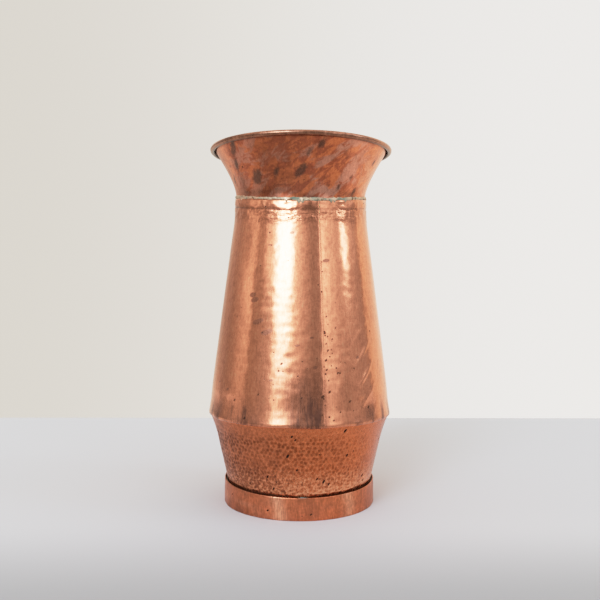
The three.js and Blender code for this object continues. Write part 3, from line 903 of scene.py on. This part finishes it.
def make_mouth():
    """The skirt, the flare and the curl, an arc round the wire, carried round the axis. Relief is slow and
    short waves, less a dimple at each blow, on the flare only."""
    lean = math.radians(MOUTH_LEAN)
    curl_start = 180 - MOUTH_LEAN
    curl = arc(curl_centre, curl_inside, curl_start, curl_start - CURL_TURN, 40)
    flare_foot = neck_joint + NECK_BEAD + SKIN_GAP
    reach = (curl[0, 0] - skirt_radius) / math.tan(lean)
    flare = bent((skirt_radius, flare_foot), (skirt_radius, curl[0, 1] - reach), curl[0], 30)
    sheet = evenly([(skirt_radius, collar_foot + SKIN_GAP), flare], 1.7 * MM)
    line = np.concatenate([sheet, evenly([curl], 0.6 * MM)[1:]])
    angle = ring(440)
    radius, height = line[:, :1], line[:, 1:]
    place, curled = np.arange(len(line))[:, None], len(sheet)
    on_flare = (place < curled) * ramp(height, flare_foot, flare_foot + 6 * MM)
    on_flare = on_flare * (1 - ramp(height, curl[0, 1] - 9 * MM, curl[0, 1]))
    distance, number = blows(angle, height, radius, 46, 13 * MM, 71)
    waves = 0.3 * drift(angle, height, 13, 30 * MM, 72) + 0.1 * drift(angle, height, 52, 9 * MM, 73)
    relief = on_flare * MM * (waves - 0.1 * dimple(distance, 8 * MM) * number)
    rim = ramp(place, curled - 3, curled)
    underside = ramp(place, len(line) - 6, len(line) - 2)
    crease_shadow = ramp(place, curled - 5, curled - 2) * (1 - rim)
    aside = np.degrees(from_front(angle)) + 8 * drift(angle, height, 24, 14 * MM, 74)
    fields = {
        "rim": rim + 0 * angle,
        # hollow: painted shade in the hammer blows on the flare.
        "hollow": 0.3 * on_flare * dimple(distance, 7 * MM) * number,
        "stained": spots(angle, height - dip(angle, height), radius, STAINS, 1.7),
        "curl_shadow": underside + 0 * angle,
        # Painted reflection: the flare is paler towards the sides, where the copper is seen at a glancing
        # angle.
        "paler_sides": np.clip(ramp(aside, 24, 60) + ramp(-aside, 52, 68), 0, 1),
        # Darker across the front and the left of the flare.
        "darker_front": ramp(-aside, -35, 24) * (1 - ramp(-aside, 50, 68)),
        "crease_shadow": crease_shadow + 0 * angle,
    }
    return sheet_piece("flared_mouth", line, SHEET, angle, relief, fields, drop=dip, every=2)


def tarnished_copper():
    """Red-brown copper with dark stains, pinkish clouds and slanting orange smears. The rim is browner.
    Painted shadow darkens the curl's underside and the crease below it, and painted reflection makes flare
    and rim paler towards the sides.
    """
    material, tree = new_material("tarnished mouth copper")
    smear = noise(tree, place_in(tree, 0.015, (2.1, 1, 0.8), (0, math.radians(38), 0)), 6.0, 0.6, 2.0)
    bloom = noise(tree, place_in(tree, 0.03, (2.2, 1, 0.8), (0, math.radians(34), 0)), 5.0, 0.55, 0.8)
    clean = blend(tree, between(tree, smear, 0.44, 0.58), (0.6, 0.155, 0.075, 1), (1.0, 0.28, 0.11, 1))
    streaks = times(tree, between(tree, bloom, 0.48, 0.56), between(tree, smear, 0.4, 0.52, 0.1, 1.0))
    paler_sides = field(tree, "paler_sides")
    for share, amount, colour in ((streaks, 0.85, (0.8, 0.355, 0.235, 1)), (paler_sides, 0.6, (0.96, 0.34, 0.17, 1)),
                                  (field(tree, "darker_front"), 0.56, (0.3, 0.09, 0.045, 1))):
        clean = blend(tree, times(tree, share, amount), clean, colour)
    edge = use(tree, cloud_effect, Size=0.007, From=0.3, To=0.7)["Cloud"]
    worn_rim = blend(tree, edge, (0.28, 0.115, 0.062, 1), (0.48, 0.21, 0.125, 1))
    # Painted reflection: the rim is paler towards the sides.
    worn_rim = blend(tree, times(tree, paler_sides, 0.7), worn_rim, (0.62, 0.28, 0.17, 1))
    clean = blend(tree, field(tree, "rim"), clean, worn_rim)
    # Painted shadow: near black under the curl and in the crease just below it.
    dark = sums(tree, "MAXIMUM", field(tree, "curl_shadow"), field(tree, "crease_shadow"))
    clean = blend(tree, times(tree, dark, 0.85), clean, (0.03, 0.014, 0.009, 1))
    marked = between(tree, scaled(tree, edge, -0.5, field(tree, "stained")), -0.1, 0.85)
    specks = use(tree, cloud_effect, Size=0.015, From=0.58, To=0.68)["Cloud"]
    stain = scaled(tree, specks, 0.25, times(tree, marked, 0.85), clamp=True)
    finish = use(tree, copper_effect, Clean=clean, Stained=(0.15, 0.075, 0.05, 1), Stain=stain,
                 Hollow=field(tree, "hollow"), Strokes=use(tree, stroke_effect, Width=0.0014)["Strokes"],
                 Pits=use(tree, pit_effect, Spacing=0.012, Share=0.2, Radius=0.1)["Pits"], Polish=0.16,
                 Dulling=0.1, Stroke_depth=4e-6)
    return finish_material(material, finish["Color"], finish["Roughness"], finish["Height"])


settle(make_mouth(), "mouth_flare", tarnished_copper())


# -------------------- rim wire
# Iron wire, bent into a ring, that stiffens the mouth. The sheet's edge is curled down round it and holds
# it without solder. Only its underside shows.


def make_wire():
    """A circle of the wire's radius carried round at the middle of the curl, with no lumps."""
    angle = ring(360)
    return bead("rim_wire_ring", curl_centre[0], curl_centre[1], wire_radius, wire_radius, angle,
                {"green": 0 * angle}, np.zeros((16, 1)) + 0 * angle, sides=16)


iron = solder_metal("dark iron wire", (0.06, 0.05, 0.045, 1), (0.09, 0.04, 0.02, 1), (0.1, 0.1, 0.1, 1), 0.0)
settle(make_wire(), "rim_wire", iron)


# -------------------- neck solder
# Soft solder run round the top edge of the body's collar, lumpy, with drips on the collar. It is covered in
# pale green verdigris, with bare bright spots where it has been rubbed.

NECK_BEAD_WIDE = 0.8 * MM  # half widths
NECK_BEAD_TALL = 1.8 * MM
DRIPS = (  # degrees from the front, length in mm
    (-13, 3.6), (-3, 3.6), (0, 2.8), (24, 3.6), (27, 3.0), (38, 2.8), (-62, 1.8), (84, 2.0), (150, 3.0),
    (-120, 2.5))


def make_neck_solder():
    """A bead round the joint. Its lumps are drifts round and along it, and on its underside a hump at each
    drip and a thicker growth near the front. Its middle wavers by 0.3 mm."""
    angle = ring(900)
    section = np.linspace(0, FULL_TURN, 16, endpoint=False)[:, None]
    aside = from_front(angle)
    run = sum(length * MM * near(aside, at, 0.022) for at, length in DRIPS)
    growth = near(aside, 9, 0.26)
    hanging = run / NECK_BEAD_TALL + 0.9 * growth * (0.6 + 0.6 * drift(angle, 0, 70, 1, 85))
    lumps = 0.3 * drift(angle, section * 0.5, 150, 1.0, 81) + 0.18 * drift(angle, section * 0.3, 60, 1.0, 82)
    lumps = lumps + 0.22 * drift(angle, 0, 17, 1, 86) + np.clip(-np.sin(section), 0, 1) * hanging
    height = neck_joint + NECK_BEAD / 2 + (0.4 + 0.3 * drift(angle, 0, 40, 1, 83)) * MM
    paler_sides = 0.6 * near(aside, -48, 0.3) + 0.5 * near(aside, 52, 0.12)
    green = np.clip(0.45 + 0.8 * drift(angle, section * 0.4, 60, 1.0, 84) + 0.6 * growth - paler_sides, 0, 1)
    return bead("neck_joint_solder", NECK_RADIUS - 1.05 * MM, height, NECK_BEAD_WIDE, NECK_BEAD_TALL, angle,
                {"green": green}, lumps, drop=dip, sides=16)


neck_solder_metal = solder_metal("neck solder", (0.8, 0.52, 0.33, 1), (0.3, 0.16, 0.08, 1),
                                 (0.185, 0.235, 0.155, 1), 0.95)
settle(make_neck_solder(), "neck_solder", neck_solder_metal)


# -------------------- studio
# A pale floor under an even sky, with a broad soft light to the left of the front, a narrow one high on the
# right, and paler walls behind, so that the copper has bright and dark bands to reflect.

# Bands of light, each a list of (degrees from the front towards +X, light there).
HIGH = ((-180, 1.2), (-151, 1.2), (-140, 0.8), (-132, 0.5), (-119, 0.42), (-95, 0.5), (-88, 0.8), (-79, 0.98),
        (-76, 0.5), (-63, 0.48), (-59, 1.05), (-50, 1.35), (-45, 1.6), (-41, 3.0), (-35, 6.0), (-21, 6.0),
        (-15, 2.8), (-10, 1.4), (-3, 0.98), (4, 0.74), (10, 0.54), (17, 0.38), (29, 0.4), (31, 1.1),
        (40, 1.6), (50, 1.0), (60, 0.72), (92, 0.75), (99, 0.55), (106, 0.6), (109, 1.05), (140, 1.2))
MIDDLE = ((-180, 1.0), (-151, 0.68), (-135, 0.48), (-119, 0.4), (-103, 0.52), (-95, 0.75), (-88, 1.0),
          (-79, 1.05), (-76, 0.4), (-63, 0.38), (-50, 0.52), (-42, 0.85), (-38, 1.8), (-31, 3.2), (-24, 2.8),
          (-16, 1.5), (-8, 0.95), (1, 0.62), (9, 0.43), (18, 0.34), (29, 0.36), (31, 0.98), (41, 1.25),
          (50, 0.85), (58, 0.62), (85, 0.55), (97, 0.42), (107, 0.42), (109, 0.95), (125, 1.0), (140, 1.0))
LOW = ((-180, 0.95), (-151, 0.6), (-135, 0.44), (-119, 0.33), (-103, 0.4), (-95, 0.5), (-88, 0.64),
       (-79, 0.62), (-76, 0.36), (-55, 0.42), (-47, 0.44), (-41, 0.68), (-34, 1.55), (-28, 1.15), (-19, 0.5),
       (-10, 0.3), (1, 0.27), (9, 0.22), (18, 0.2), (29, 0.26), (31, 0.8), (42, 0.85), (50, 0.48), (60, 0.36),
       (75, 0.45), (89, 0.4), (107, 0.42), (109, 0.8), (125, 0.95), (140, 1.05))
BELOW = ((-180, 0.95), (-140, 0.9), (-120, 0.5), (-100, 0.3), (-60, 0.3), (-30, 0.5), (0, 0.55), (60, 0.43),
         (92, 0.39), (108, 0.7), (125, 0.95), (140, 1.0))
STRIP = ((64, 0.0), (68, 0.5), (71, 1.8), (77, 2.2), (81, 0.6), (86, 0.0))
BRIGHTEST = 6.0


def bearing_ramp(tree, bearing, stops):
    """Light by bearing round the room, in degrees from the front towards +X."""
    made = node(tree, "ShaderNodeValToRGB", None, Fac=bearing)
    line = made.color_ramp
    line.interpolation = "EASE"
    places = [(degrees / 360 + 0.5, light / BRIGHTEST) for degrees, light in stops]
    for place, light in places[2:]:
        line.elements.new(place)
    for element, (place, light) in zip(line.elements, places):
        element.position = place
        element.color = (light, light, light, 1)
    return made.outputs[0]


def make_room():
    """The room that the copper reflects: four bands of light by bearing, blended by how far up or down they
    are, and an upright strip on the right, all warmer or cooler by bearing. The camera sees plain plaster."""
    world = bpy.data.worlds.new("studio")
    bpy.context.scene.world = world
    world.use_nodes = True
    tree = world.node_tree
    look = node(tree, "ShaderNodeTexCoord").outputs["Generated"]
    east, north, up = node(tree, "ShaderNodeSeparateXYZ", None, Vector=look).outputs
    turn = sums(tree, "ARCTAN2", east, times(tree, north, -1.0))
    bearing = scaled(tree, turn, 1 / FULL_TURN, 0.5)
    below, low, middle, high = [bearing_ramp(tree, bearing, stops) for stops in (BELOW, LOW, MIDDLE, HIGH)]
    walls = blend(tree, between(tree, up, -0.14, 0.0), below, low)
    walls = blend(tree, between(tree, up, 0.07, 0.18), walls, middle)
    walls = blend(tree, between(tree, up, 0.18, 0.28), walls, high)
    strip = times(tree, bearing_ramp(tree, bearing, STRIP), between(tree, up, 0.18, 0.27))
    room = times(tree, sums(tree, "ADD", walls, strip), BRIGHTEST)
    cool = blend(tree, between(tree, turn, -2.5, -2.2), (0.92, 0.86, 0.74, 1), (1, 1, 1, 1))
    cool = blend(tree, between(tree, turn, -1.25, -0.75), cool, (1.02, 1.09, 1.18, 1))
    cool = blend(tree, between(tree, turn, 1.7, 1.95), cool, (0.98, 0.93, 0.82, 1))
    room = blend(tree, between(tree, up, 0.6, 0.85), room, (1.25, 1.25, 1.25, 1))
    glare = blend(tree, between(tree, room, 1.0, 2.6), (1, 1, 1, 1), (1, 1.17, 1.36, 1))
    room = blend(tree, 1.0, blend(tree, 1.0, room, cool, "MULTIPLY"), glare, "MULTIPLY")
    plaster = blend(tree, between(tree, east, -0.42, 0.42), (0.8, 0.745, 0.66, 1), (1.12, 1.08, 1.03, 1))
    seen = node(tree, "ShaderNodeLightPath").outputs["Is Camera Ray"]
    tree.links.new(blend(tree, seen, room, plaster), tree.nodes["Background"].inputs["Color"])


def make_floor():
    """A flat floor, darker towards the front. Its back edge is the line where wall and floor meet."""
    mesh = bpy.data.meshes.new("floor")
    side, front, back = 3.2, -0.7, 0.58
    corners = [(-side, front, 0), (side, front, 0), (side, back, 0), (-side, back, 0)]
    mesh.from_pydata(corners, [], [(0, 1, 2, 3)])
    floor = bpy.data.objects.new("floor", mesh)
    bpy.context.scene.collection.objects.link(floor)
    material, tree = new_material("pale floor")
    shader = tree.nodes["Principled BSDF"]
    point = node(tree, "ShaderNodeTexCoord").outputs["Object"]
    north = node(tree, "ShaderNodeSeparateXYZ", None, Vector=point).outputs[1]
    colour = blend(tree, between(tree, north, -0.33, -0.1), (0.4, 0.375, 0.355, 1), (0.63, 0.59, 0.565, 1))
    tree.links.new(colour, shader.inputs["Base Color"])
    shader.inputs["Roughness"].default_value = 0.9
    shader.inputs["Specular IOR Level"].default_value = 0.1
    mesh.materials.append(material)


make_room()
make_floor()

CAMERA_PLACE = (-24.4 * MM, -897.7 * MM, 263.4 * MM)
CAMERA_TURN = math.radians(-1.55)
CAMERA_TILT = math.radians(-0.45)
CAMERA_ROLL = math.radians(0.34)
CAMERA_LENS, CAMERA_SENSOR = 41.6, 36
TONE_KNEE = 0.45
TONE_STEPS = (0.15, 0.3, 0.45, 0.6, 0.8, 1.0, 1.4, 2.0, 3.0)

camera_data = bpy.data.cameras.new("camera")
camera_data.lens = CAMERA_LENS
camera_data.sensor_width = CAMERA_SENSOR
camera = bpy.data.objects.new("camera", camera_data)
bpy.context.scene.collection.objects.link(camera)
looking = Matrix.Rotation(CAMERA_TURN, 4, "Z") @ Matrix.Rotation(math.pi / 2 + CAMERA_TILT, 4, "X")
camera.matrix_world = Matrix.Translation(CAMERA_PLACE) @ looking @ Matrix.Rotation(CAMERA_ROLL, 4, "Z")
bpy.context.scene.camera = camera

# Light above TONE_KNEE is eased off towards white, as film does, so that bright copper stays pink.
view = bpy.context.scene.view_settings
view.view_transform = "Standard"
view.use_curve_mapping = True
easing = view.curve_mapping
easing.white_level = (BRIGHTEST, BRIGHTEST, BRIGHTEST)
tone = easing.curves[3]
tone.points[1].location = (1, 1)
for light in TONE_STEPS:
    eased = TONE_KNEE + (1 - TONE_KNEE) * (1 - math.exp((TONE_KNEE - light) / (1 - TONE_KNEE)))
    tone.points.new(light / BRIGHTEST, light if light < TONE_KNEE else eased)
easing.update()
